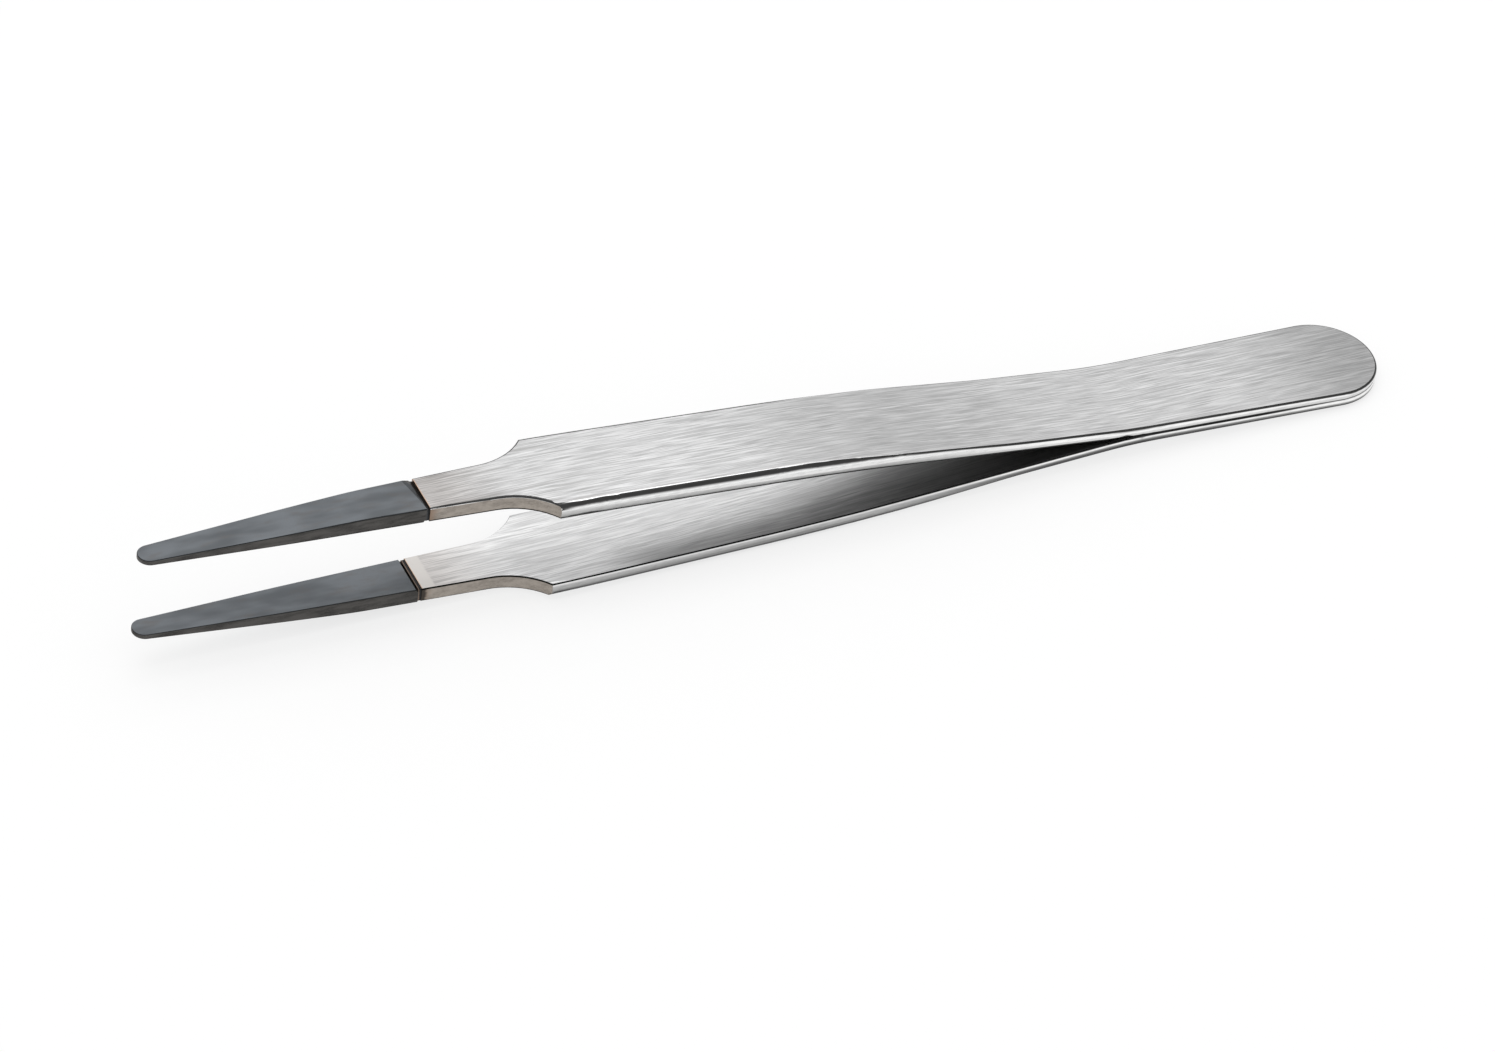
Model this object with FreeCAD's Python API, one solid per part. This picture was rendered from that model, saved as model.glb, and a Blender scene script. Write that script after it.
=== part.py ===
import FreeCAD, Part
import math
import os

# Diamond-coated tweezers for handling wafers and other delicate flat pieces.
# Two sprung steel arms are welded face to face at the rear. Each arm is ground thin behind,
# where it springs, and keeps its full thickness and rounded edges where it is held. In front
# of a sharp shoulder it narrows to a neck, and a coated hard-metal tip is brazed to its end.
#
# A station is a distance from the rear end towards the tips. A height is measured from the
# plane in which the arms meet. The upper pieces are modelled and the lower ones mirrored, and
# the whole is then laid on the lower arm, tips towards -X, with its origin under its middle.

# Lengths along the tweezers, one after the other from the rear end
weld_length = 26.5
spring_length = 11.6
taper_length = 17.6
grip_length = 27.1
neck_length = 11.2
braze_gap = 0.33
tip_length = 25.67

# Angles in degrees between the inner face of an arm and the plane in which the arms meet
spring_angle = 5.03
grip_angle = 2.48
tip_angle = 0.2

# Thicknesses of one arm, and of the coated tip at its end
rear_thickness = 0.67
spring_thickness = 0.90
body_thickness = 1.46
tip_thickness = 0.47

# Widths across the tweezers
rear_width = 10.42
bend_width = 9.44
shoulder_width = 9.92
joint_width = 4.34
tip_knee_width = 3.51
nose_radius = 1.10

# Bends and blends
bend_radius = 60.0
taper_radius = 120.0
crown_inner_radius = 286.0
crown_outer_radius = 150.0
neck_radius = 286.0
side_radius = 300.0
shoulder_radius = 6.5
tip_land_radius = 60.0

# Sides of an arm: the rolled edge of the grip, the land under it, the barrelled flank below,
# what the last grinding takes off the top, and the broken edges of all other faces
rolled_edge = 0.62
edge_land = 0.40
flank_radius = 1.4
face_grind = 0.010
outer_break = 0.18
inner_break = 0.05

# The coated tip: the land behind its taper, the distance of its knee from the joint,
# its broken edges, the relief ground askew at its root and the notch under it
tip_land = 5.7
tip_knee = 12.0
tip_outer_break = 0.10
tip_inner_break = 0.04
relief_radius = 30.0
relief_skew = 5.7
relief_angle = 16.0
notch_length = 0.25
notch_height = 0.33

# The braze seam stands back from the faces beside it
braze_inset = 0.05
braze_edge = 0.15

# Stations that follow from the lengths
bend_at = weld_length
taper_at = bend_at + spring_length
crown_at = taper_at + taper_length
shoulder_at = crown_at + grip_length
steel_end = shoulder_at + neck_length
tip_root = steel_end + braze_gap
tip_end = tip_root + tip_length

# Room that cutting solids have beyond the pieces
spare = 3.0


def slope(angle):
    """Rise per millimetre of a face that leans by the angle, in degrees."""
    return math.tan(math.radians(angle))


def inner_height(station):
    """Height of the upper arm's inner face, taken along its straight runs."""
    spring_run = max(0.0, min(station, crown_at) - bend_at)
    grip_run = max(0.0, min(station, shoulder_at) - crown_at)
    tip_run = max(0.0, station - shoulder_at)
    return spring_run * slope(spring_angle) + grip_run * slope(grip_angle) + tip_run * slope(tip_angle)


def side_point(station, height):
    """Point of the side view."""
    return FreeCAD.Vector(-station, 0, height)


def plan_point(station, offset):
    """Point of the top view."""
    return FreeCAD.Vector(-station, offset, 0)


def line(start, end):
    """Straight edge between two points."""
    return Part.LineSegment(start, end).toShape()


def rounded_path(points, radii):
    """Straight runs through the points, with a tangent arc at each inner one."""
    edges = []
    start = points[0]
    for before, corner, after, radius in zip(points, points[1:], points[2:], radii):
        back = (before - corner).normalize()
        ahead = (after - corner).normalize()
        half_turn = (math.pi - back.getAngle(ahead)) / 2
        setback = radius * math.tan(half_turn)
        middle = (back + ahead).normalize() * (radius / math.cos(half_turn) - radius)
        arc_start = corner + back * setback
        arc_end = corner + ahead * setback
        edges.append(line(start, arc_start))
        edges.append(Part.Arc(arc_start, corner + middle, arc_end).toShape())
        start = arc_end
    edges.append(line(start, points[-1]))
    return edges


def closed_face(low_path, high_path):
    """Face between two paths that run the same way."""
    first = line(low_path[0].Vertexes[0].Point, high_path[0].Vertexes[0].Point)
    last = line(low_path[-1].Vertexes[-1].Point, high_path[-1].Vertexes[-1].Point)
    edges = Part.__sortEdges__([first] + low_path + [last] + high_path)
    return Part.Face(Part.Wire(edges))


def inner_path(drop):
    """Path of the inner face in the side view, lowered by drop."""
    stations = [0.0, bend_at, crown_at, shoulder_at, tip_end]
    points = [side_point(station, inner_height(station) - drop) for station in stations]
    return rounded_path(points, [bend_radius, crown_inner_radius, neck_radius])


def outer_path():
    """Path of the ground outer face in the side view, down to the coated tip's end."""
    thickness_at = [
        (0.0, rear_thickness),
        (bend_at, spring_thickness),
        (taper_at, spring_thickness),
        (crown_at, body_thickness),
        (shoulder_at, body_thickness),
        (tip_root + tip_land, body_thickness),
        (tip_end, tip_thickness),
    ]
    points = [side_point(station, inner_height(station) + thick) for station, thick in thickness_at]
    radii = [bend_radius, taper_radius, crown_outer_radius, neck_radius, tip_land_radius]
    return rounded_path(points, radii)


def rail_path():
    """Path of the outer face before it is ground, in the side view."""
    rise = body_thickness + face_grind
    stations = [0.0, bend_at, crown_at, shoulder_at, tip_end]
    points = [side_point(station, inner_height(station) + rise) for station in stations]
    return rounded_path(points, [bend_radius, crown_inner_radius, neck_radius])


def tangent_point(centre, radius, target):
    """Point where a line from the target touches the circle, on the side of positive offsets."""
    towards = target - centre
    reach = math.acos(radius / towards.Length)
    side = 1 if towards.x > 0 else -1
    bearing = math.atan2(towards.y, towards.x) + side * reach
    return centre + FreeCAD.Vector(math.cos(bearing), math.sin(bearing), 0) * radius


def short_arc(centre, start, end):
    """The shorter arc around the centre from the start to the end."""
    radius = (start - centre).Length
    middle = centre + (start - centre + end - centre).normalize() * radius
    return Part.Arc(start, middle, end).toShape()


def mirrored_face(half_path):
    """Face of a top view from the half that lies at positive offsets."""
    middle = FreeCAD.Vector(0, 0, 0)
    across = FreeCAD.Vector(0, 1, 0)
    other = [edge.mirror(middle, across) for edge in half_path]
    return Part.Face(Part.Wire(Part.__sortEdges__(half_path + other)))


def rear_round():
    """Edges of the rear half round, up to where it meets the straight side."""
    radius = rear_width / 2
    centre = plan_point(radius, 0)
    touch = tangent_point(centre, radius, plan_point(bend_at, bend_width / 2))
    return touch, short_arc(centre, plan_point(0, 0), touch)


def body_side(front):
    """Edges of the rear round and of the straight side that widens forwards to a station."""
    touch, round_edge = rear_round()
    widening = (shoulder_width - bend_width) / 2 / (shoulder_at - bend_at)
    bend = plan_point(bend_at, bend_width / 2)
    end = plan_point(front, bend_width / 2 + widening * (front - bend_at))
    return [round_edge] + rounded_path([touch, bend, end], [side_radius])


def bar_outline():
    """Top view of an arm before its neck is cut: its sides run on as far as the tip's end."""
    sides = body_side(tip_end)
    end_edge = line(sides[-1].Vertexes[-1].Point, plan_point(tip_end, 0))
    return mirrored_face(sides + [end_edge])


def shoulder_arc(corner, knee):
    """Hollow arc from the shoulder's corner to where it runs into the straight side of the neck."""
    joint = plan_point(steel_end, joint_width / 2)
    run = (joint - knee).normalize()
    outward = FreeCAD.Vector(-run.y, run.x, 0)
    across = (corner - joint).dot(outward)
    along = math.sqrt(shoulder_radius ** 2 - (shoulder_radius - across) ** 2)
    touch = joint + run * ((corner - joint).dot(run) - along)
    return touch, short_arc(touch + outward * shoulder_radius, corner, touch)


def neck_side():
    """Edges from the shoulder's corner to the nose of the tip, in the top view."""
    corner = plan_point(shoulder_at, shoulder_width / 2)
    knee = plan_point(steel_end + tip_knee, tip_knee_width / 2)
    touch, hollow = shoulder_arc(corner, knee)
    nose_centre = plan_point(tip_end - nose_radius, 0)
    nose_touch = tangent_point(nose_centre, nose_radius, knee)
    nose = short_arc(nose_centre, nose_touch, plan_point(tip_end, 0))
    return [hollow] + rounded_path([touch, knee, nose_touch], [side_radius]) + [nose]


def arm_outline():
    """Top view of an arm with its neck and tip."""
    return mirrored_face(body_side(shoulder_at) + neck_side())


def slab(face):
    """Solid that stands on a top view, from below the arm to above its highest point."""
    foot = face.copy()
    foot.translate(FreeCAD.Vector(0, 0, -spare))
    highest = inner_height(tip_end) + body_thickness
    return foot.extrude(FreeCAD.Vector(0, 0, highest + 2 * spare))


def strip(face):
    """Solid of a side view, wider than any part of an arm."""
    width = rear_width + 2 * spare
    wide = face.extrude(FreeCAD.Vector(0, width, 0))
    wide.translate(FreeCAD.Vector(0, -width / 2, 0))
    return wide


def single(shape):
    """The one solid that a cut leaves."""
    solid, = shape.Solids
    return solid


def faces_up(face):
    """True for a face that looks away from the other arm."""
    return face.normalAt(*middle_of(face)).z > 0.5


def faces_down(face):
    """True for a face that looks towards the other arm."""
    return face.normalAt(*middle_of(face)).z < -0.5


def faces_aside(face):
    """True for an upright face."""
    return abs(face.normalAt(*middle_of(face)).z) < 0.1


def middle_of(face):
    """Parameters of the middle of a face."""
    u_low, u_high, v_low, v_high = face.ParameterRange
    return (u_low + u_high) / 2, (v_low + v_high) / 2


def edges_between(solid, is_first, is_second):
    """Edges of the solid with a face of the first kind on one side and of the second on the other."""
    found = []
    for edge in solid.Edges:
        beside = solid.ancestorsOfType(edge, Part.Face)
        if any(is_first(face) for face in beside) and any(is_second(face) for face in beside):
            found.append(edge)
    return found


def between(solid, first, last):
    """The stretch of a solid between two stations."""
    size = 4 * rear_width
    corner = FreeCAD.Vector(-last, -size / 2, -size / 2)
    return single(solid.common(Part.makeBox(last - first, size, size, corner)))


def rolled_bar():
    """The bar that an arm is ground from, with rolled upper edges and barrelled flanks."""
    below = flank_radius + edge_land + rolled_edge - body_thickness - face_grind
    bar = slab(bar_outline()).common(strip(closed_face(inner_path(below), rail_path())))
    bar = bar.makeFillet(rolled_edge, edges_between(bar, faces_up, faces_aside))
    return bar.makeFillet(flank_radius, edges_between(bar, faces_down, faces_aside))


def ground_shape(outer_edge, inner_edge, first, last):
    """The ground arm or tip between two stations, with its broken edges."""
    shape = slab(arm_outline()).common(strip(closed_face(inner_path(0.0), outer_path())))
    shape = shape.makeFillet(outer_edge, edges_between(shape, faces_up, faces_aside))
    shape = shape.makeChamfer(inner_edge, edges_between(shape, faces_down, faces_aside))
    return between(shape, first, last)


def upper_arm():
    """Upper arm: the rolled bar, ground to its thickness, with its neck cut."""
    return single(rolled_bar().common(ground_shape(outer_break, inner_break, -spare, steel_end)))


def root_relief(top):
    """What is ground off the outer face of the tip at its root: a wedge outside a cone."""
    depth = body_thickness / 2
    spread = depth / slope(relief_angle)
    skew = math.radians(relief_skew)
    corner = FreeCAD.Vector(-tip_root, -joint_width / 2, top - depth)
    centre = corner - FreeCAD.Vector(math.cos(skew), math.sin(skew), 0) * relief_radius
    kept = Part.makeCone(relief_radius + spread, relief_radius - spread, 2 * depth, centre)
    block_corner = corner - FreeCAD.Vector(joint_width, joint_width / 2, 0)
    block = Part.makeBox(joint_width + spare, 2 * joint_width, 2 * depth, block_corner)
    return block.cut(kept)


def root_notch(bottom):
    """The small notch under the root of the tip, as a three-sided bar."""
    points = [
        side_point(tip_root - spare, bottom - spare),
        side_point(tip_root - spare, bottom + notch_height),
        side_point(tip_root, bottom + notch_height),
        side_point(tip_root + notch_length, bottom),
        side_point(tip_root + notch_length, bottom - spare),
    ]
    return strip(Part.Face(Part.makePolygon(points + points[:1])))


def upper_tip():
    """Upper coated tip, with the relief and the notch at its root."""
    tip = ground_shape(tip_outer_break, tip_inner_break, tip_root, tip_end + spare)
    bottom = inner_height(tip_root)
    return single(tip.cut(root_relief(bottom + body_thickness)).cut(root_notch(bottom)))


def upper_braze():
    """Braze seam between the upper arm and its tip, a rounded plate that stands back a little.

    The relief is ground into the seam as well.
    """
    width = joint_width - 2 * braze_inset
    height = body_thickness - 2 * braze_inset
    bottom = inner_height(steel_end) + braze_inset
    corner = FreeCAD.Vector(-tip_root, -width / 2, bottom)
    plate = Part.makeBox(braze_gap, width, height, corner)
    long_edges = [edge for edge in plate.Edges if abs(edge.tangentAt(edge.FirstParameter).x) > 0.5]
    plate = plate.makeFillet(braze_edge, long_edges)
    return single(plate.cut(root_relief(bottom + height)))


def rest_pitch():
    """Angle in degrees by which the tweezers lean when the lower arm lies on a table.

    The arm then touches the table with its crown and with the broken edge of its rear end.
    """
    arcs = [edge.Curve for edge in outer_path() if edge.Curve.TypeId == "Part::GeomCircle"]
    crown = arcs[2]
    rear = side_point(outer_break, rear_thickness - outer_break)
    reach = crown.Center - rear
    tilt = math.asin((crown.Radius - outer_break) / reach.Length)
    return math.degrees(math.atan2(reach.z, -reach.x) + tilt)


def lower(piece):
    """The same piece on the lower arm."""
    return piece.mirror(FreeCAD.Vector(0, 0, 0), FreeCAD.Vector(0, 0, 1))


def laid_down(pieces):
    """The pieces turned to their rest on a table, with the origin under the middle of them all."""
    centre = FreeCAD.Vector(0, 0, 0)
    across = FreeCAD.Vector(0, 1, 0)
    pitch = rest_pitch()
    turned = {}
    for name, piece in pieces.items():
        turned[name] = piece.copy()
        turned[name].rotate(centre, across, pitch)
    box = Part.makeCompound(list(turned.values())).optimalBoundingBox(False, False)
    shift = FreeCAD.Vector(-box.Center.x, -box.Center.y, -box.ZMin)
    for piece in turned.values():
        piece.translate(shift)
    return turned


def tweezers():
    """All pieces by name."""
    uppers = {"arm": upper_arm(), "tip": upper_tip(), "braze": upper_braze()}
    pieces = {}
    for name, piece in uppers.items():
        pieces["upper_" + name] = piece
        pieces["lower_" + name] = lower(piece)
    return laid_down(pieces)


os.makedirs("parts", exist_ok=True)
for name, piece in tweezers().items():
    piece.exportStep(os.path.join("parts", name + ".step"))
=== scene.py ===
import math
from bisect import bisect_left

import bpy
from mathutils import Matrix, Vector


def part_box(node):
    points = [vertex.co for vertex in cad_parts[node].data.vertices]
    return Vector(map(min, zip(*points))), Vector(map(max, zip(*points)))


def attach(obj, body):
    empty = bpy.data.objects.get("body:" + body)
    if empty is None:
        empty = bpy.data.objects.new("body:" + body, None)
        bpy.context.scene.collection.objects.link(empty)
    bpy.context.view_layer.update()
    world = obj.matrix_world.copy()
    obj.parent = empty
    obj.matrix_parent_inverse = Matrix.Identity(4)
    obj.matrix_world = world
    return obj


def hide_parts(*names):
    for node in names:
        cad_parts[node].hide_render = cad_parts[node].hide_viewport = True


bl_info = {
    "name": "Coated tweezers",
    "version": (1, 0, 0),
    "blender": (4, 5, 0),
    "location": "3D View > Sidebar > Tweezers",
    "description": "Finishes the arms, coated tips and braze seams of tweezers, and lights them",
    "category": "Object",
}

# Every size below is in metres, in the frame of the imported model: +X towards the welded rear
# end, tips towards -X, +Y across and +Z up, with the table at zero height.
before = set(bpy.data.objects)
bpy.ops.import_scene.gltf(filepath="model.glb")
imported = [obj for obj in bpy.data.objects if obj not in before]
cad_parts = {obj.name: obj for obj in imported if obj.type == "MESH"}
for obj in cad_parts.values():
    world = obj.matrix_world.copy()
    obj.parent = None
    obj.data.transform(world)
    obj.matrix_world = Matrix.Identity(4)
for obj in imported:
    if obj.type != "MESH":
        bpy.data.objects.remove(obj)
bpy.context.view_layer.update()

millimetre = 0.001
black = (0.0, 0.0, 0.0, 1.0)
white = (1.0, 1.0, 1.0, 1.0)

# Which way the outer face of each arm looks: up or down.
outward_of = {"upper": 1, "lower": -1}

# Names under which the corners of the arms and of the tips store how far up they lie.
height_attribute = "above_inner_face"
rise_attribute = "rise"


class ArmSettings(bpy.types.PropertyGroup):
    """Finish of the steel arms."""

    steel_color: bpy.props.FloatVectorProperty(
        name="Steel",
        description="Colour of the bare steel",
        subtype="COLOR",
        size=3,
        min=0,
        max=1,
        default=(0.70, 0.70, 0.702),
    )
    side_color: bpy.props.FloatVectorProperty(
        name="Cut side",
        description="Colour of the satin sides of the neck",
        subtype="COLOR",
        size=3,
        min=0,
        max=1,
        default=(0.34, 0.305, 0.27),
    )
    edge_color: bpy.props.FloatVectorProperty(
        name="Polished edge",
        description="Colour of the polished rolled edges",
        subtype="COLOR",
        size=3,
        min=0,
        max=1,
        default=(0.97, 0.97, 0.965),
    )
    tint_color: bpy.props.FloatVectorProperty(
        name="Heat tint",
        description="Colour that brazing leaves on the steel beside the seam",
        subtype="COLOR",
        size=3,
        min=0,
        max=1,
        default=(0.62, 0.43, 0.31),
    )
    brush_length: bpy.props.FloatProperty(
        name="Brush line length",
        description="Typical length of one brush line",
        unit="LENGTH",
        subtype="DISTANCE",
        min=0.1 * millimetre,
        default=3.6 * millimetre,
    )
    brush_pitch: bpy.props.FloatProperty(
        name="Brush line pitch",
        description="Typical distance between brush lines",
        unit="LENGTH",
        subtype="DISTANCE",
        min=0.01 * millimetre,
        default=0.105 * millimetre,
    )
    brush_depth: bpy.props.FloatProperty(
        name="Brush line depth",
        description="Height of the relief that brushing leaves",
        unit="LENGTH",
        subtype="DISTANCE",
        min=0,
        default=0.003 * millimetre,
    )
    # The middle of the painted shade at the bend of the outer faces, along the tweezers.
    painted_shade_middle: bpy.props.FloatProperty(
        name="Haze at the bend",
        description="Middle of the duller stretch of the outer faces, along the tweezers",
        unit="LENGTH",
        subtype="DISTANCE",
        default=12 * millimetre,
    )
    brush_turn: bpy.props.FloatProperty(
        name="Brush direction",
        description="Angle of the brush lines to the length of the tweezers",
        unit="ROTATION",
        subtype="ANGLE",
        default=math.radians(-2),
    )
    face_roughness: bpy.props.FloatProperty(
        name="Face roughness",
        description="Roughness of the brushed faces",
        subtype="FACTOR",
        min=0,
        max=1,
        default=0.34,
    )
    edge_roughness: bpy.props.FloatProperty(
        name="Edge roughness",
        description="Roughness of the polished rolled edges",
        subtype="FACTOR",
        min=0,
        max=1,
        default=0.10,
    )
    polished_reach: bpy.props.FloatProperty(
        name="Cleaned zone",
        description="Length of the inner face beside the seam that is ground clean after brazing",
        unit="LENGTH",
        subtype="DISTANCE",
        min=0,
        default=1.45 * millimetre,
    )
    tint_reach: bpy.props.FloatProperty(
        name="Heat tint reach",
        description="How far the heat tint reaches from the seam on the sides",
        unit="LENGTH",
        subtype="DISTANCE",
        min=0,
        default=1.0 * millimetre,
    )


class TipSettings(bpy.types.PropertyGroup):
    """Finish of the coated tips."""

    coat_color: bpy.props.FloatVectorProperty(
        name="Coating",
        description="Colour of the diamond coating on the flat faces",
        subtype="COLOR",
        size=3,
        min=0,
        max=1,
        default=(0.154, 0.167, 0.181),
    )
    side_color: bpy.props.FloatVectorProperty(
        name="Ground side",
        description="Colour of the ground sides, where the hard metal shows through the coating",
        subtype="COLOR",
        size=3,
        min=0,
        max=1,
        default=(0.059, 0.056, 0.053),
    )
    grit_size: bpy.props.FloatProperty(
        name="Grit size",
        description="Size of the coating's grain",
        unit="LENGTH",
        subtype="DISTANCE",
        min=0.001 * millimetre,
        default=0.06 * millimetre,
    )
    coat_roughness: bpy.props.FloatProperty(
        name="Coating roughness",
        description="Roughness of the coated faces",
        subtype="FACTOR",
        min=0,
        max=1,
        default=0.45,
    )


class SeamSettings(bpy.types.PropertyGroup):
    """Finish of the braze seams."""

    braze_color: bpy.props.FloatVectorProperty(
        name="Braze",
        description="Colour of the braze between steel and tip",
        subtype="COLOR",
        size=3,
        min=0,
        max=1,
        default=(0.060, 0.062, 0.066),
    )
    copper_color: bpy.props.FloatVectorProperty(
        name="Copper specks",
        description="Colour of the copper that shows in the braze",
        subtype="COLOR",
        size=3,
        min=0,
        max=1,
        default=(0.17, 0.13, 0.105),
    )
    grain_size: bpy.props.FloatProperty(
        name="Grain size",
        description="Size of the braze's grain",
        unit="LENGTH",
        subtype="DISTANCE",
        min=0.001 * millimetre,
        default=0.15 * millimetre,
    )


class StudioSettings(bpy.types.PropertyGroup):
    """Floor, lights and camera."""

    floor_color: bpy.props.FloatVectorProperty(
        name="Floor",
        description="Colour of the floor",
        subtype="COLOR",
        size=3,
        min=0,
        max=1,
        default=(0.96, 0.96, 0.96),
    )
    floor_lift: bpy.props.FloatProperty(
        name="Floor lift",
        description="Share of plain white in the floor that the camera and the steel see",
        min=0,
        max=1,
        default=0.72,
    )
    sky_level: bpy.props.FloatProperty(
        name="Sky level",
        description="Strength of the even white light from all round",
        min=0,
        default=0.86,
    )
    overhead_power: bpy.props.FloatProperty(
        name="Overhead light",
        description="Power of the soft light above the tweezers",
        unit="POWER",
        min=0,
        default=2.2,
    )
    camera_azimuth: bpy.props.FloatProperty(
        name="Camera azimuth",
        description="Bearing of the camera around the tweezers",
        unit="ROTATION",
        subtype="ANGLE",
        default=math.radians(-26.3249),
    )
    camera_elevation: bpy.props.FloatProperty(
        name="Camera elevation",
        description="Height of the camera above the horizon",
        unit="ROTATION",
        subtype="ANGLE",
        default=math.radians(40.5050),
    )
    camera_roll: bpy.props.FloatProperty(
        name="Camera roll",
        description="Turn of the camera about its own line of sight",
        unit="ROTATION",
        subtype="ANGLE",
        default=math.radians(4.0656),
    )
    camera_distance: bpy.props.FloatProperty(
        name="Camera distance",
        description="Distance from the camera to the point that it is aimed at",
        unit="LENGTH",
        subtype="DISTANCE",
        min=0.01,
        default=0.661188,
    )
    camera_aim: bpy.props.FloatVectorProperty(
        name="Camera aim",
        description="Point that the camera is aimed at",
        unit="LENGTH",
        subtype="TRANSLATION",
        size=3,
        default=(-0.005936, -0.007979, 0.006031),
    )
    camera_lens: bpy.props.FloatProperty(
        name="Focal length",
        description="Focal length in millimetres, for a sensor 36 mm wide",
        subtype="DISTANCE_CAMERA",
        min=1,
        default=182.513,
    )


def color(settings_color):
    """A colour with its alpha."""
    return (*settings_color, 1.0)


def toned(settings_color, factor):
    """The colour, made lighter or darker, with its alpha."""
    return (*[min(1.0, value * factor) for value in settings_color], 1.0)


def cell(*sizes):
    """Sizes along X, Y and Z, given in millimetres."""
    return [size * millimetre for size in sizes]


def new_material(name):
    """An empty material and its node tree."""
    material = bpy.data.materials.new(name)
    material.use_nodes = True
    material.node_tree.nodes.clear()
    return material, material.node_tree


def feed(tree, socket, value):
    """Sets the socket to a value, or links it where the value is another socket."""
    if isinstance(value, bpy.types.NodeSocket):
        tree.links.new(value, socket)
    else:
        socket.default_value = value


def node(tree, kind, settings=None, **inputs):
    """A new node, its inputs given by name, each as a value or as a socket to link."""
    made = tree.nodes.new("ShaderNode" + kind)
    for name, value in (settings or {}).items():
        setattr(made, name, value)
    for name, value in inputs.items():
        feed(tree, made.inputs[name.replace("_", " ")], value)
    return made


def result(tree, kind, settings, *values):
    """Output of a new node whose inputs are given in their order."""
    made = node(tree, kind, settings)
    for socket, value in zip(made.inputs, values):
        feed(tree, socket, value)
    return made.outputs[0]


def reckon(tree, operation, *values):
    """Result of a Math node."""
    return result(tree, "Math", {"operation": operation}, *values)


def product(tree, first, *others):
    """The values multiplied."""
    for other in others:
        first = reckon(tree, "MULTIPLY", first, other)
    return first


def total(tree, first, *others):
    """The values added up."""
    for other in others:
        first = reckon(tree, "ADD", first, other)
    return first


def remap(tree, value, low, high, new_low, new_high):
    """The value, taken smoothly from one range to another and held at its ends."""
    made = node(tree, "MapRange", {"interpolation_type": "SMOOTHSTEP"}, Value=value)
    limits = {"From Min": low, "From Max": high, "To Min": new_low, "To Max": new_high}
    for name, number in limits.items():
        made.inputs[name].default_value = number
    return made.outputs[0]


def rise(tree, value, low, high, level=1.0):
    """Nothing up to low, then smoothly up to the level at high."""
    return remap(tree, value, low, high, 0.0, level)


def fall(tree, value, low, high, level=1.0):
    """The level up to low, then smoothly down to nothing at high."""
    return remap(tree, value, low, high, level, 0.0)


def ramp(tree, value, start, run):
    """Nothing up to the start, then straight up to 1 at a run past it."""
    share = reckon(tree, "DIVIDE", reckon(tree, "SUBTRACT", value, start), run)
    return reckon(tree, "MINIMUM", reckon(tree, "MAXIMUM", share, 0.0), 1.0)


def around(tree, pattern, middle, lower, upper):
    """The pattern's usual levels, taken to a little below and above the middle."""
    return remap(tree, pattern, 0.3, 0.7, middle - lower, middle + upper)


def curve(tree, value, stops):
    """The value, read off straight runs between stops, each a place and a level."""
    made = node(tree, "ValToRGB", Fac=value)
    elements = made.color_ramp.elements
    while len(elements) < len(stops):
        elements.new(0.5)
    for element, (place, level) in zip(elements, stops):
        element.position = place
        element.color = (level, level, level, 1.0)
    return made.outputs["Color"]


def mix(tree, factor, first, second, way="MIX"):
    """Two colours mixed."""
    made = node(tree, "Mix", {"data_type": "RGBA", "blend_type": way})
    # The node has sockets for each type of data: for colours, 0, 6 and 7 go in and 2 comes out.
    for index, value in ((0, factor), (6, first), (7, second)):
        feed(tree, made.inputs[index], value)
    return made.outputs[2]


def mixed_shader(tree, factor, first, second):
    """Two shaders mixed."""
    return result(tree, "MixShader", None, factor, first, second)


def position(tree):
    """Place on the piece, in metres."""
    return node(tree, "TexCoord").outputs["Object"]


def along(tree):
    """Place along the tweezers, in metres."""
    return node(tree, "SeparateXYZ", Vector=position(tree)).outputs["X"]


def across(tree):
    """Place across the tweezers, in metres."""
    return node(tree, "SeparateXYZ", Vector=position(tree)).outputs["Y"]


def turned(tree, place, angle):
    """The place, turned about the vertical."""
    return node(tree, "Mapping", Vector=place, Rotation=(0, 0, angle)).outputs[0]


def noise(tree, place, sizes, detail=2.0, roughness=0.5):
    """Noise between 0 and 1 with cells of the given sizes along X, Y and Z."""
    shrunk = node(tree, "Mapping", Vector=place, Scale=[1 / size for size in sizes])
    made = node(
        tree, "TexNoise",
        Vector=shrunk.outputs[0], Scale=1.0, Detail=detail, Roughness=roughness,
    )
    return made.outputs["Fac"]


def stored(tree, attribute):
    """What the piece's corners store under the attribute's name."""
    return node(tree, "Attribute", {"attribute_name": attribute}).outputs["Fac"]


# Steel faces: how light or dark each mark is beside the steel itself. A shade is multiplied in.
inner_tone = 1.28
groove_tone = 0.62
ridge_tone = 1.27
coarse_tone = 0.87
cloud_tone = 0.84
# The next three are painted shade: the inner face's wedge towards the weld, its near rim, and the
# outer face's bend, grip and rear end.
painted_wedge_shade = (0.20, 0.20, 0.20, 1.0)
painted_rim_shade = (0.25, 0.25, 0.25, 1.0)
painted_face_shade = (0.54, 0.54, 0.54, 1.0)
neck_shade = (0.68, 0.65, 0.63, 1.0)
scratch_shade = (0.50, 0.49, 0.48, 1.0)
cleaned_color = (0.64, 0.615, 0.59, 1.0)
outer_scratches = 0.58
inner_scratches = 0.30

# The painted shade on the inner face has a front that runs askew: it lies this much further back
# for each metre across.
wedge_shade_slant = 3.0

# Stretches over which the finish and the painted shade change, each from its start to its end.
# Along the tweezers:
# Painted shade of the inner faces: towards the weld, then along the near rim.
wedge_shade_stretch = (-0.004, 0.018)
rim_begins = (-0.020, -0.012)
rim_weakens = (-0.010, 0.004)
# Painted shade of the outer faces, over the grip and at the rear end.
grip_shade = (-0.012, 0.004)
rear_shade = (0.044, 0.059)
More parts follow.
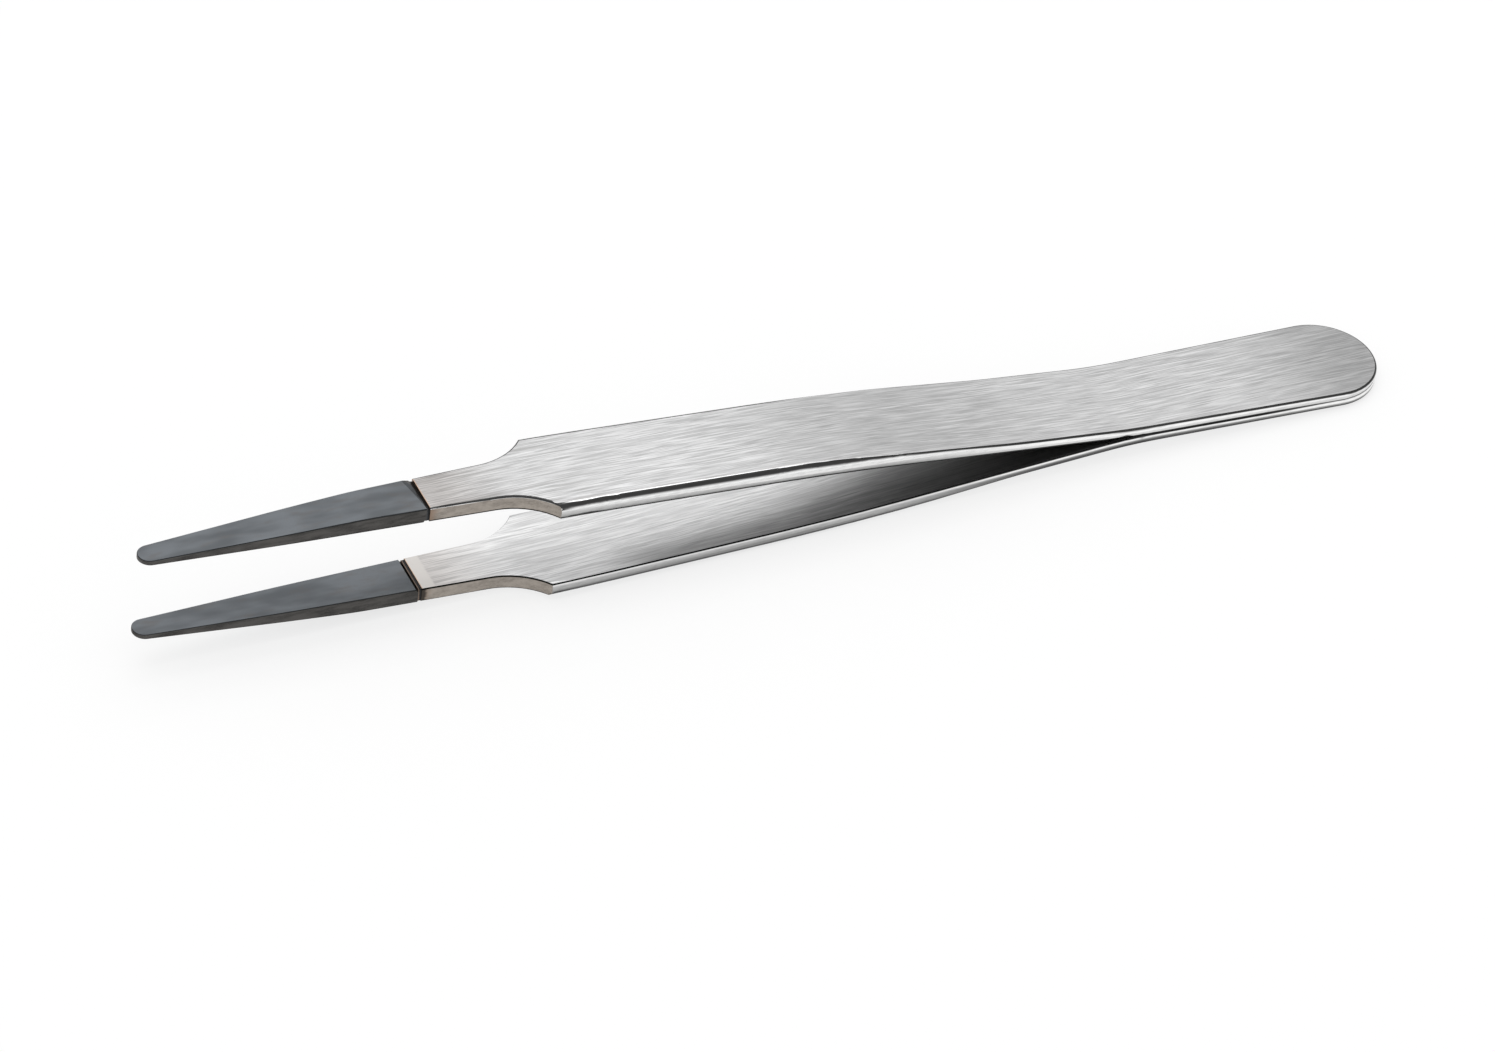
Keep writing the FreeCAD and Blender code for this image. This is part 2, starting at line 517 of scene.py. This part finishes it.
# Across them:
rim_width = (-0.0043, -0.0012)
# From the bend, for the painted shade of the outer faces:
bend_shade = (0.002, 0.018)
# From the joint:
neck_haze = (0.001, 0.009)
neck_scratches = (0.009, 0.020)
copper_line = (0.09 * millimetre, 0.20 * millimetre)

# Edge of the cleaned zone: how ragged and how blurred it is.
cleaned_raggedness = 0.25 * millimetre
cleaned_blur = 0.12 * millimetre


def brush_lines(tree, arm):
    """Fine and coarse brush lines, a little wavy, each between 0 and 1."""
    place = turned(tree, position(tree), arm.brush_turn)
    length, pitch = arm.brush_length, arm.brush_pitch
    waver = noise(tree, place, (length * 1.4, pitch * 9, length * 2), 1.0)
    drift = node(tree, "CombineXYZ", X=0.0, Y=product(tree, waver, pitch * 1.5), Z=0.0)
    place = result(tree, "VectorMath", {"operation": "ADD"}, place, drift.outputs[0])
    fine = noise(tree, place, (length, pitch, length), 3.0, 0.62)
    coarse = noise(tree, place, (length * 2.6, pitch * 2.7, length * 2), 2.0, 0.55)
    return fine, coarse


def metal(tree, base, roughness, relief, depth, **more):
    """Metal surface with a fine relief, as the material's output."""
    bump = node(tree, "Bump", Strength=1.0, Distance=depth, Height=relief)
    shader = node(
        tree, "BsdfPrincipled",
        Base_Color=base, Roughness=roughness, Normal=bump.outputs[0], **more,
    )
    node(tree, "OutputMaterial", Surface=shader.outputs[0])


def with_painted_wedge_shade(tree, base):
    """The inner face's colour with painted shade, darker towards the weld and along the near rim.
    """
    x, y = along(tree), across(tree)
    slanted = reckon(tree, "SUBTRACT", x, product(tree, y, wedge_shade_slant))
    wedge_shade_share = rise(tree, slanted, *wedge_shade_stretch, 0.83)
    base = mix(tree, wedge_shade_share, base, painted_wedge_shade, "MULTIPLY")
    rim = product(
        tree,
        fall(tree, y, *rim_width, 0.60),
        rise(tree, x, *rim_begins),
        remap(tree, x, *rim_weakens, 1.0, 0.3),
    )
    return mix(tree, rim, base, painted_rim_shade, "MULTIPLY")


def with_painted_face_shade(tree, base, painted_shade_middle):
    """The outer face's colour with painted shade, darker at the bend, over the grip and at the rear
    end.
    """
    x = along(tree)
    from_bend = reckon(tree, "ABSOLUTE", reckon(tree, "SUBTRACT", x, painted_shade_middle))
    face_shade_share = total(
        tree,
        fall(tree, from_bend, *bend_shade, 0.28),
        rise(tree, x, *grip_shade, 0.25),
        rise(tree, x, *rear_shade, 0.70),
    )
    return mix(tree, face_shade_share, base, painted_face_shade, "MULTIPLY")


def with_neck_wear(tree, base, reach, coarse, scratches):
    """The face's colour, dull beside the joint and scratched up to the shoulder."""
    base = mix(tree, fall(tree, reach, *neck_haze, 0.90), base, neck_shade, "MULTIPLY")
    marks = product(
        tree,
        fall(tree, reach, *neck_scratches, scratches),
        rise(tree, coarse, 0.52, 0.64),
    )
    return mix(tree, marks, base, scratch_shade, "MULTIPLY")


def brushed_face(name, arm, joint_x, inner):
    """Steel face brushed lengthwise, with a copper-coloured line at the seam.

    The inner faces are ground clean beside the seam and have painted shade towards the weld and
    along the near rim; the outer faces have painted shade at the bend, over the grip and at the
    rear end.
    """
    material, tree = new_material(name)
    steel = toned(arm.steel_color, inner_tone if inner else 1.0)[:3]
    fine, coarse = brush_lines(tree, arm)
    clouds = noise(tree, position(tree), cell(9, 2.6, 20), 3.0, 0.6)
    groove, ridge = toned(steel, groove_tone), toned(steel, ridge_tone)
    base = mix(tree, rise(tree, fine, 0.32, 0.68), groove, ridge)
    base = mix(tree, rise(tree, coarse, 0.36, 0.66, 0.45), base, toned(steel, coarse_tone))
    base = mix(tree, rise(tree, clouds, 0.40, 0.70, 0.30), base, toned(steel, cloud_tone))
    reach = reckon(tree, "SUBTRACT", along(tree), joint_x)
    relief = total(tree, fine, coarse)
    if inner:
        # Painted shade towards the weld and along the near rim.
        base = with_painted_wedge_shade(tree, base)
        base = with_neck_wear(tree, base, reach, coarse, inner_scratches)
        ragged = total(tree, reach, product(tree, fine, cleaned_raggedness))
        start, end = arm.polished_reach - cleaned_blur, arm.polished_reach + cleaned_blur
        brushed_share = rise(tree, ragged, start, end)
        base = mix(tree, brushed_share, cleaned_color, base)
        relief = product(tree, relief, brushed_share)
    else:
        # Painted shade at the bend, over the grip and at the rear end.
        base = with_painted_face_shade(tree, base, arm.painted_shade_middle)
        base = with_neck_wear(tree, base, reach, coarse, outer_scratches)
    copper = fall(tree, reach, *copper_line, 0.95)
    base = mix(tree, copper, base, color(arm.tint_color))
    roughness = around(tree, coarse, arm.face_roughness, 0.04, 0.04)
    turn = arm.brush_turn
    tangent = node(tree, "CombineXYZ", X=math.sin(turn), Y=math.cos(turn), Z=0.0)
    metal(
        tree, base, roughness, relief, arm.brush_depth,
        Metallic=1.0, Anisotropic=0.5, Tangent=tangent.outputs[0],
    )
    return material


# Height of the tallest edge above the inner face.
edge_height = 1.6 * millimetre

# Stretches along the tweezers over which the painted light on the polished edges changes, each from
# its start to its end. The runs say how quickly the painted crest highlight and the painted inner
# shade line come in.
neck_to_grip = (-0.0225, -0.0205)
crest_begins = (-0.0225, -0.0210)
crest_narrows = (-0.014, 0.008)
crest_ends = (0.0105, 0.0140)
band_to_weld = (0.010, 0.022)
wall_to_weld = (0.008, 0.026)
line_thins = (0.046, 0.056)
crest_run = 0.02
line_run = 0.03

# Painted reflection and shade along the polished edges, each stop a place and a level. Over the
# rolled band the place is how far the surface looks outward, and down the wall it is the height
# above the inner face.
grip_band = {
    "upper": ((0.20, 1.0), (0.38, 0.45), (0.50, 0.08), (0.60, 0.045), (1.0, 0.045)),
    "lower": ((0.08, 1.0), (0.26, 0.45), (0.38, 0.10), (0.60, 0.03), (1.0, 0.03)),
}
neck_band = ((0.02, 1.0), (0.16, 0.30), (0.30, 0.05), (1.0, 0.05))
weld_band = ((0.04, 1.0), (0.20, 0.40), (0.34, 0.045), (1.0, 0.045))
front_wall = {
    "upper": (
        (0.0, 0.18), (0.12, 0.24), (0.20, 0.42), (0.36, 0.55),
        (0.47, 0.66), (0.56, 0.90), (0.66, 1.0),
    ),
    "lower": (
        (0.08, 0.25), (0.14, 0.86), (0.20, 0.62), (0.28, 0.48),
        (0.44, 0.42), (0.60, 0.20), (0.90, 0.05),
    ),
}
rear_wall = {
    "upper": ((0.0, 0.55), (0.10, 0.72), (0.22, 0.74), (0.30, 1.0), (0.6, 1.0)),
    "lower": ((0.0, 0.60), (0.10, 1.0), (0.18, 0.90), (0.24, 0.36), (0.34, 0.10)),
}


def height(tree):
    """Height above the arm's inner face, as a share of the tallest edge."""
    return reckon(tree, "DIVIDE", stored(tree, height_attribute), edge_height)


def painted_inner_shade_line(tree):
    """Painted shade: a dark line along the inner face, thinner over the rear end."""
    x = along(tree)
    width = remap(tree, x, *line_thins, 0.085, 0.02)
    level = remap(tree, x, *line_thins, 0.03, 0.45)
    clear = ramp(tree, height(tree), width, line_run)
    return total(tree, level, product(tree, clear, reckon(tree, "SUBTRACT", 1.0, level)))


def painted_crest_highlight(tree, roll, facing_y):
    """Painted highlight: a bright line where the grip's near edge meets the outer face."""
    x = along(tree)
    start = remap(tree, x, *crest_narrows, 0.925, 0.955)
    return product(
        tree,
        ramp(tree, roll, start, crest_run),
        fall(tree, x, *crest_ends),
        fall(tree, facing_y, -0.02, 0.02),
        rise(tree, x, *crest_begins),
    )


def painted_edge_light(tree, side):
    """Painted reflection and shade, from 0 to 1, over the rolled edge and down the wall."""
    facing = node(tree, "SeparateXYZ", Vector=node(tree, "NewGeometry").outputs["Normal"])
    x = along(tree)
    roll = product(tree, facing.outputs["Z"], outward_of[side])
    band = curve(tree, roll, grip_band[side])
    band = mix(tree, fall(tree, x, *neck_to_grip), band, curve(tree, roll, neck_band))
    band = mix(tree, rise(tree, x, *band_to_weld), band, curve(tree, roll, weld_band))
    up = height(tree)
    front, rear = curve(tree, up, front_wall[side]), curve(tree, up, rear_wall[side])
    wall = mix(tree, rise(tree, x, *wall_to_weld), front, rear)
    brightest = reckon(tree, "MAXIMUM", band, painted_crest_highlight(tree, roll, facing.outputs["Y"]))
    return product(tree, brightest, wall, painted_inner_shade_line(tree))


def polished_edge(name, arm, side):
    """Rolled edge and wall, polished along their length, with painted reflection and shade: a dark
    band above a bright wall.
    """
    material, tree = new_material(name)
    place = position(tree)
    lines = noise(tree, place, cell(3.0, 0.12, 0.12), 2.0)
    grain = noise(tree, place, cell(0.8, 0.16, 0.16), 3.0, 0.6)
    bright, duller = color(arm.edge_color), toned(arm.edge_color, 0.87)
    base = mix(tree, rise(tree, grain, 0.40, 0.70), bright, duller)
    # Painted reflection and shade over the rolled edge and down the wall.
    base = mix(tree, painted_edge_light(tree, side), black, base)
    relief = total(tree, lines, product(tree, grain, 0.5))
    roughness = around(tree, grain, arm.edge_roughness, 0.03, 0.05)
    metal(tree, base, roughness, relief, arm.brush_depth * 0.25, Metallic=1.0)
    return material


# Sides of the neck: burnt brown from burnt_start to a little past the heat tint's reach, and only
# beside the lower joint charred black. All are distances from the joint.
burnt_tone = 0.42
burnt_start = 0.3 * millimetre
burnt_past_tint = 0.5 * millimetre
burnt_raggedness = 0.8 * millimetre
charred_color = (0.035, 0.033, 0.03, 1.0)
charred_share = {"upper": 0.0, "lower": 0.9}
charred_stretch = (0.7 * millimetre, 1.0 * millimetre)


def satin_side(name, arm, joint_x, charred):
    """Cut side of the neck: satin, a little brown, burnt near the seam."""
    material, tree = new_material(name)
    place = position(tree)
    mottle = noise(tree, place, cell(1.6, 1.0, 0.5), 4.0, 0.6)
    grain = noise(tree, place, cell(0.35, 0.14, 0.14), 3.0, 0.65)
    cut = arm.side_color
    base = mix(tree, rise(tree, mottle, 0.38, 0.66, 0.8), color(cut), toned(cut, 0.66))
    base = mix(tree, rise(tree, grain, 0.35, 0.70, 0.5), base, toned(cut, 1.30))
    reach = reckon(tree, "SUBTRACT", along(tree), joint_x)
    ragged = total(tree, reach, product(tree, mottle, burnt_raggedness))
    burnt = fall(tree, ragged, burnt_start, arm.tint_reach + burnt_past_tint, 0.9)
    base = mix(tree, burnt, base, toned(arm.tint_color, burnt_tone))
    base = mix(tree, fall(tree, ragged, *charred_stretch, charred), base, charred_color)
    # Painted shade: a dark line along the inner face.
    base = mix(tree, painted_inner_shade_line(tree), black, base)
    roughness = remap(tree, mottle, 0.3, 0.7, 0.30, 0.42)
    metal(tree, base, roughness, grain, arm.brush_depth, Metallic=1.0)
    return material


# Coated tips: the tone of the relief, the colour of the rusty clouds, and the depth of the
# coating's grain and of the ground surface's.
relief_tone = 0.45
rust_color = (0.13, 0.112, 0.098)
coat_depth = 0.003 * millimetre
ground_depth = 0.002 * millimetre

# Painted shade: black lines along the edges of the sides, as shares of the way from the lower face
# to the upper.
upper_line = (0.89, 0.95)
lower_line = (0.05, 0.11)
line_strength = 0.9


def coated_face(name, tip, tone):
    """Satin face with a fine diamond coating, with darker and rusty clouds."""
    material, tree = new_material(name)
    place = position(tree)
    grit = noise(tree, place, (tip.grit_size,) * 3, 3.0, 0.6)
    clouds = noise(tree, place, cell(6, 1.8, 4), 2.0, 0.5)
    rust = noise(tree, place, cell(2.4, 0.8, 2), 4.0, 0.6)
    coat = toned(tip.coat_color, tone)[:3]
    base = mix(tree, rise(tree, clouds, 0.34, 0.68), toned(coat, 1.12), toned(coat, 0.70))
    base = mix(tree, rise(tree, rust, 0.50, 0.75, 0.40), base, toned(rust_color, tone))
    base = mix(tree, rise(tree, grit, 0.35, 0.65, 0.25), base, toned(coat, 0.75))
    roughness = around(tree, clouds, tip.coat_roughness, 0.04, 0.04)
    metal(tree, base, roughness, grit, coat_depth, Metallic=0.75)
    return material


def coated_edge(name, tip):
    """Broken edge of a tip, glossier than its faces, and darker in a painted dark reflection."""
    material, tree = new_material(name)
    grit = noise(tree, position(tree), (tip.grit_size,) * 3, 3.0, 0.6)
    coat = tip.coat_color
    base = mix(tree, rise(tree, grit, 0.35, 0.65), toned(coat, 0.22), toned(coat, 0.12))
    metal(tree, base, 0.30, grit, ground_depth, Metallic=0.9)
    return material


def coated_side(name, tip):
    """Ground side of a tip, darker than its faces, with painted black shade lines along its edges.
    """
    material, tree = new_material(name)
    place = position(tree)
    grit = noise(tree, place, (tip.grit_size * 3, tip.grit_size, tip.grit_size), 3.0, 0.6)
    clouds = noise(tree, place, cell(2.8, 1.0, 0.6), 3.0, 0.6)
    ground = tip.side_color
    base = mix(tree, rise(tree, clouds, 0.34, 0.68), toned(ground, 1.35), toned(ground, 0.55))
    base = mix(tree, rise(tree, grit, 0.40, 0.65, 0.4), base, toned(ground, 1.6))
    level = stored(tree, rise_attribute)
    upper = rise(tree, level, *upper_line, line_strength)
    lower = fall(tree, level, *lower_line, line_strength)
    # Painted shade along the side's edges.
    base = mix(tree, reckon(tree, "MAXIMUM", upper, lower), base, toned(ground, 0.12))
    roughness = around(tree, clouds, tip.coat_roughness, 0.10, 0.0)
    metal(tree, base, roughness, grit, ground_depth, Metallic=0.75)
    return material


# Braze: where the black beside the steel ends and the black beside the tip starts, as distances
# from the steel, and how ragged and how deep its grain is.
steel_side_black = (0.17 * millimetre, 0.21 * millimetre)
tip_side_black = (0.31 * millimetre, 0.35 * millimetre)
braze_raggedness = 0.06 * millimetre
braze_depth = 0.008 * millimetre


def braze(name, seam, joint_x, fill):
    """Braze with copper-coloured specks, black along both pieces that it joins."""
    material, tree = new_material(name)
    grain = noise(tree, position(tree), (seam.grain_size,) * 3, 3.0, 0.6)
    reach = reckon(tree, "SUBTRACT", joint_x, along(tree))
    ragged = total(tree, reach, product(tree, grain, braze_raggedness))
    base = mix(tree, rise(tree, grain, 0.3, 0.6), toned(fill, 0.7), toned(fill, 1.2))
    base = mix(tree, rise(tree, grain, 0.60, 0.72, 0.6), base, color(seam.copper_color))
    dark = toned(seam.braze_color, 0.35)
    base = mix(tree, fall(tree, ragged, *steel_side_black, 0.95), base, dark)
    base = mix(tree, rise(tree, ragged, *tip_side_black, 0.9), base, dark)
    roughness = remap(tree, grain, 0.3, 0.7, 0.35, 0.55)
    metal(tree, base, roughness, grain, braze_depth, Metallic=0.9)
    return material


# Cleaning of the copied meshes: how near two corners are one, how narrow a face is none, and the
# angle under which two faces are one.
merge_distance = 1e-6
sliver_width = 1e-5
coplanar_angle = math.radians(0.05)


def merged_copy(node_name, piece_name):
    """A copy of a CAD node with its loose triangles joined, alone selected and active."""
    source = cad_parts[node_name]
    piece = bpy.data.objects.new(piece_name, source.data.copy())
    piece.data.name = piece_name
    bpy.context.scene.collection.objects.link(piece)
    bpy.ops.object.select_all(action="DESELECT")
    piece.select_set(True)
    bpy.context.view_layer.objects.active = piece
    piece.data.materials.clear()
    bpy.ops.object.mode_set(mode="EDIT")
    bpy.ops.mesh.select_all(action="SELECT")
    bpy.ops.mesh.remove_doubles(threshold=merge_distance)
    bpy.ops.mesh.dissolve_degenerate(threshold=sliver_width)
    bpy.ops.mesh.dissolve_limited(angle_limit=coplanar_angle)
    bpy.ops.mesh.select_all(action="DESELECT")
    bpy.ops.object.mode_set(mode="OBJECT")
    return piece


# Telling faces apart by their normals, each part of which lies between 0 and 1.
flat_most_across = 0.02
flat_least_upwards = math.cos(math.radians(12))
side_most_upwards = 0.25
neck_side_most_upwards = 0.13
tip_face_least_upwards = 0.93
relief_upwards = (0.90, 0.985)

# How far the neck's sides reach from the front of an arm, and the relief from the root of a tip.
neck_length = 11.2 * millimetre
relief_length = 3 * millimetre

# Angle between two faces from which the edge between them stays sharp.
arm_crease = math.radians(50)
tip_crease = math.radians(25)


def shade(piece, crease):
    """Smooth shading that stays flat on the wide faces and sharp at the creases."""
    bpy.ops.object.shade_smooth_by_angle(angle=crease)
    bpy.ops.object.modifier_add(type="WEIGHTED_NORMAL")
    weighted = piece.modifiers[-1]
    weighted.keep_sharp = True
    bpy.ops.object.modifier_apply(modifier=weighted.name)


def finish_where(piece, material, wanted):
    """Gives the material to the faces whose middle and normal the test accepts."""
    piece.data.materials.append(material)
    piece.active_material_index = len(piece.data.materials) - 1
    for face in piece.data.polygons:
        face.select = wanted(face.center, face.normal)
    bpy.ops.object.mode_set(mode="EDIT")
    bpy.ops.object.material_slot_assign()
    bpy.ops.mesh.select_all(action="DESELECT")
    bpy.ops.object.mode_set(mode="OBJECT")


def is_flat(normal, way):
    """True for flat faces that run straight across the tweezers and look up (1) or down (-1)."""
    level = abs(normal.y) < flat_most_across and abs(normal.z) > flat_least_upwards
    return level and normal.z * way > 0


def is_neck_side(middle, normal, joint_x):
    """True for the cut sides of a neck."""
    return abs(normal.z) < neck_side_most_upwards and middle.x < joint_x + neck_length


def is_relief(middle, normal, root_x):
    """True for the face that is ground askew at the root of a tip."""
    least, most = relief_upwards
    return least < abs(normal.z) < most and middle.x > root_x - relief_length


def face_profile(piece, way):
    """Height along the tweezers of the flat faces that look up (1) or down (-1)."""
    profile = {}
    for face in piece.data.polygons:
        if is_flat(face.normal, way):
            for index in face.vertices:
                corner = piece.data.vertices[index].co
                # Corners less than a micrometre apart count as one place.
                place = round(corner.x, 6)
                outermost = max(profile.get(place, corner.z) * way, corner.z * way)
                profile[place] = outermost * way
    return sorted(profile.items())


def level_at(profile, x):
    """Height of the profile at a place along the tweezers."""
    after = min(max(bisect_left(profile, (x,)), 1), len(profile) - 1)
    (first, low), (second, high) = profile[after - 1], profile[after]
    share = min(max((x - first) / (second - first), 0.0), 1.0)
    return low + (high - low) * share


def store(piece, attribute, reading):
    """Stores on each corner of the piece what the reading gives for its place."""
    values = piece.data.attributes.new(attribute, "FLOAT", "POINT").data
    for vertex, value in zip(piece.data.vertices, values):
        value.value = reading(vertex.co)


def store_height(piece, outward):
    """Stores on each corner of an arm its height above the inner face."""
    inner = face_profile(piece, -outward)

    def above_inner(corner):
        return max(0.0, (corner.z - level_at(inner, corner.x)) * outward)

    store(piece, height_attribute, above_inner)


def store_rise(piece):
    """Stores on each corner of a tip its way up, from 0 on the lower face to 1 on the upper."""
    lower, upper = face_profile(piece, -1), face_profile(piece, 1)

    def way_up(corner):
        low, high = level_at(lower, corner.x), level_at(upper, corner.x)
        return min(max((corner.z - low) / (high - low), 0.0), 1.0)

    store(piece, rise_attribute, way_up)


def stand_for(piece, node_name):
    """The piece takes the place of its CAD node."""
    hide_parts(node_name)
    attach(piece, "root")


class TWEEZERS_OT_arms(bpy.types.Operator):
    """Brush the faces of both arms, polish their edges and cut the sides of their necks"""

    bl_idname = "tweezers.arms"
    bl_label = "Steel arms"

    def execute(self, context):
        arm = context.scene.tweezers_arms
        for side, outward in outward_of.items():
            node_name = side + "_arm"
            joint_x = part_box(node_name)[0].x
            piece = merged_copy(node_name, side + "_arm_steel")
            outer = brushed_face(side + "_outer_face", arm, joint_x, False)
            inner = brushed_face(side + "_inner_face", arm, joint_x, True)
            edge = polished_edge(side + "_polished_edge", arm, side)
            neck = satin_side(side + "_neck_side", arm, joint_x, charred_share[side])
            finish_where(piece, edge, lambda middle, normal: True)
            finish_where(piece, neck, lambda middle, normal: is_neck_side(middle, normal, joint_x))
            finish_where(piece, outer, lambda middle, normal: is_flat(normal, outward))
            finish_where(piece, inner, lambda middle, normal: is_flat(normal, -outward))
            store_height(piece, outward)
            shade(piece, arm_crease)
            stand_for(piece, node_name)
        return {"FINISHED"}


class TWEEZERS_OT_tips(bpy.types.Operator):
    """Coat the faces of both tips and grind their sides"""

    bl_idname = "tweezers.tips"
    bl_label = "Coated tips"

    def execute(self, context):
        tip = context.scene.tweezers_tips
        face = coated_face("coated_face", tip, 1.0)
        relief = coated_face("ground_relief", tip, relief_tone)
        edge = coated_edge("coated_edge", tip)
        side = coated_side("coated_side", tip)
        for end in ("upper", "lower"):
            node_name = end + "_tip"
            piece = merged_copy(node_name, end + "_tip_coated")
            root_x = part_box(node_name)[1].x
            finish_where(piece, edge, lambda middle, normal: True)
            finish_where(piece, face, lambda middle, normal: abs(normal.z) > tip_face_least_upwards)
            finish_where(piece, relief, lambda middle, normal: is_relief(middle, normal, root_x))
            finish_where(piece, side, lambda middle, normal: abs(normal.z) < side_most_upwards)
            store_rise(piece)
            shade(piece, tip_crease)
            stand_for(piece, node_name)
        return {"FINISHED"}


class TWEEZERS_OT_seams(bpy.types.Operator):
    """Fill the seams between steel and tips with braze"""

    bl_idname = "tweezers.seams"
    bl_label = "Braze seams"

    def execute(self, context):
        seam = context.scene.tweezers_seams
        for end, fill in (("upper", seam.braze_color), ("lower", seam.copper_color)):
            joint_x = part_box(end + "_arm")[0].x
            filler = braze(end + "_braze", seam, joint_x, fill)
            node_name = end + "_braze"
            piece = merged_copy(node_name, end + "_braze_seam")
            finish_where(piece, filler, lambda middle, normal: True)
            shade(piece, tip_crease)
            stand_for(piece, node_name)
        return {"FINISHED"}


# Studio: the floor and its faint speckle, the light, and the camera, whose sensor is in
# millimetres.
floor_size = 8.0
speckle_size = 0.004
speckle_color = (0.9, 0.9, 0.9, 1.0)
overhead_place = (0.0, 0.15, 0.9)
overhead_width = 1.1
overhead_depth = 0.7
sensor_width = 36
nearest_seen = 0.01
farthest_seen = 20


def seen_directly(tree):
    """1 for what the camera, polished metal and glass see, and 0 for the light itself."""
    path = node(tree, "LightPath")
    seen = reckon(tree, "MAXIMUM", path.outputs["Is Camera Ray"], path.outputs["Is Glossy Ray"])
    return reckon(tree, "MAXIMUM", seen, path.outputs["Is Transmission Ray"])


def floor_material(studio):
    """Matt pale floor, clear when seen from below."""
    material, tree = new_material("floor")
    speckle = noise(tree, position(tree), (speckle_size,) * 3, 2.0)
    share = rise(tree, speckle, 0.3, 0.7, 0.02)
    base = mix(tree, share, color(studio.floor_color), speckle_color)
    matt = node(tree, "BsdfDiffuse", Color=base).outputs[0]
    glow = node(tree, "Emission", Color=white, Strength=1.0).outputs[0]
    clear = node(tree, "BsdfTransparent").outputs[0]
    lifted = mixed_shader(tree, product(tree, seen_directly(tree), studio.floor_lift), matt, glow)
    below = node(tree, "NewGeometry").outputs["Backfacing"]
    node(tree, "OutputMaterial", Surface=mixed_shader(tree, below, lifted, clear))
    return material


def add_floor(studio):
    """Wide flat floor under the tweezers."""
    bpy.ops.object.select_all(action="DESELECT")
    bpy.ops.mesh.primitive_plane_add(size=floor_size, location=(0, 0, 0))
    floor = bpy.context.active_object
    floor.name = "floor"
    floor.data.materials.append(floor_material(studio))


def set_world(studio):
    """Even white light from all round, which the camera and metal see as plain white."""
    world = bpy.data.worlds.new("studio_white")
    bpy.context.scene.world = world
    world.use_nodes = True
    tree = world.node_tree
    tree.nodes.clear()
    sky = studio.sky_level
    strength = total(tree, sky, product(tree, seen_directly(tree), 1 - sky))
    background = node(tree, "Background", Color=white, Strength=strength)
    node(tree, "OutputWorld", Surface=background.outputs[0])


def add_overhead_light(studio):
    """Large soft light above the tweezers, turned towards them."""
    bpy.ops.object.light_add(type="AREA", location=overhead_place)
    lamp = bpy.context.active_object
    lamp.name = "overhead_light"
    lamp.data.shape = "RECTANGLE"
    lamp.data.size = overhead_width
    lamp.data.size_y = overhead_depth
    lamp.data.energy = studio.overhead_power
    lamp.rotation_euler = (-Vector(lamp.location)).to_track_quat("-Z", "Y").to_euler()


def add_camera(studio):
    """Camera at the photograph's place."""
    bpy.ops.object.camera_add()
    camera = bpy.context.active_object
    camera.name = "camera"
    bearing = Matrix.Rotation(studio.camera_azimuth, 4, "Z")
    tilt = Matrix.Rotation(math.pi / 2 - studio.camera_elevation, 4, "X")
    roll = Matrix.Rotation(studio.camera_roll, 4, "Z")
    stand = Matrix.Translation(Vector(studio.camera_aim))
    back_off = Matrix.Translation((0, 0, studio.camera_distance))
    camera.matrix_world = stand @ bearing @ tilt @ back_off @ roll
    camera.data.lens = studio.camera_lens
    camera.data.sensor_width = sensor_width
    camera.data.sensor_fit = "HORIZONTAL"
    camera.data.clip_start = nearest_seen
    camera.data.clip_end = farthest_seen
    bpy.context.scene.camera = camera


class TWEEZERS_OT_studio(bpy.types.Operator):
    """Set the floor, the lights and the camera"""

    bl_idname = "tweezers.studio"
    bl_label = "Studio"

    def execute(self, context):
        studio = context.scene.tweezers_studio
        add_floor(studio)
        set_world(studio)
        add_overhead_light(studio)
        add_camera(studio)
        context.scene.view_settings.view_transform = "Standard"
        return {"FINISHED"}


class TWEEZERS_PT_panel(bpy.types.Panel):
    """Lists the steps that finish the tweezers"""

    bl_idname = "TWEEZERS_PT_panel"
    bl_label = "Coated tweezers"
    bl_space_type = "VIEW_3D"
    bl_region_type = "UI"
    bl_category = "Tweezers"

    def draw(self, context):
        layout = self.layout
        for group_name, operator_name in steps:
            box = layout.box()
            settings = getattr(context.scene, group_name)
            for name in settings.bl_rna.properties.keys():
                if name not in ("rna_type", "name"):
                    box.prop(settings, name)
            box.operator(operator_name)


steps = (
    ("tweezers_arms", "tweezers.arms"),
    ("tweezers_tips", "tweezers.tips"),
    ("tweezers_seams", "tweezers.seams"),
    ("tweezers_studio", "tweezers.studio"),
)
setting_groups = {
    "tweezers_arms": ArmSettings,
    "tweezers_tips": TipSettings,
    "tweezers_seams": SeamSettings,
    "tweezers_studio": StudioSettings,
}
classes = (
    *setting_groups.values(),
    TWEEZERS_OT_arms,
    TWEEZERS_OT_tips,
    TWEEZERS_OT_seams,
    TWEEZERS_OT_studio,
    TWEEZERS_PT_panel,
)


def register():
    for item in classes:
        bpy.utils.register_class(item)
    for name, group in setting_groups.items():
        setattr(bpy.types.Scene, name, bpy.props.PointerProperty(type=group))


def unregister():
    for name in setting_groups:
        delattr(bpy.types.Scene, name)
    for item in reversed(classes):
        bpy.utils.unregister_class(item)


def main():
    register()
    bpy.ops.tweezers.arms()
    bpy.ops.tweezers.tips()
    bpy.ops.tweezers.seams()
    bpy.ops.tweezers.studio()


if __name__ == "__main__":
    main()
